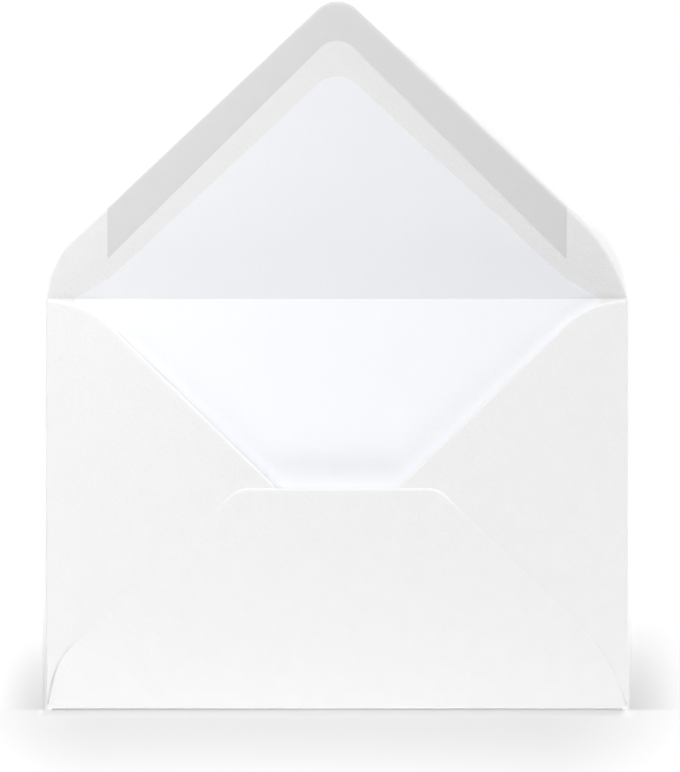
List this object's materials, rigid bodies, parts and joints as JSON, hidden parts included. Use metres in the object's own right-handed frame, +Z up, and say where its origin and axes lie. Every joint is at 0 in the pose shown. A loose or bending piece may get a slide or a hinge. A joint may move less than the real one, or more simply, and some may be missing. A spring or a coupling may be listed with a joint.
{
  "type": "paper envelope",
  "caption": "Lined paper envelope, unsealed, lying on its front with a pointed seal flap open and a V-shaped throat into its pocket.",
  "frame": {"origin": "middle of the front panel's outer face, which is the face that the envelope lies on", "axes": "+X to the right along the width, +Y from the bottom fold toward the seal flap, +Z up out of the back"},
  "size_m": [0.162, 0.1958, 0.0176],
  "materials": {
    "blank_paper": "matte, white, lightly textured wove paper",
    "liner_tissue": "smooth, bluish white tissue",
    "dry_gum": "dry remoistenable gum, slightly glossy, light grey",
    "seam_glue": "dry seam gum between two layers of paper, out of sight"
  },
  "bodies": {
    "root": {"envelope_blank": "blank_paper", "liner": "liner_tissue", "seal_gum": "dry_gum", "seam_gum_left": "seam_glue", "seam_gum_right": "seam_glue"}
  },
  "joints": []
}
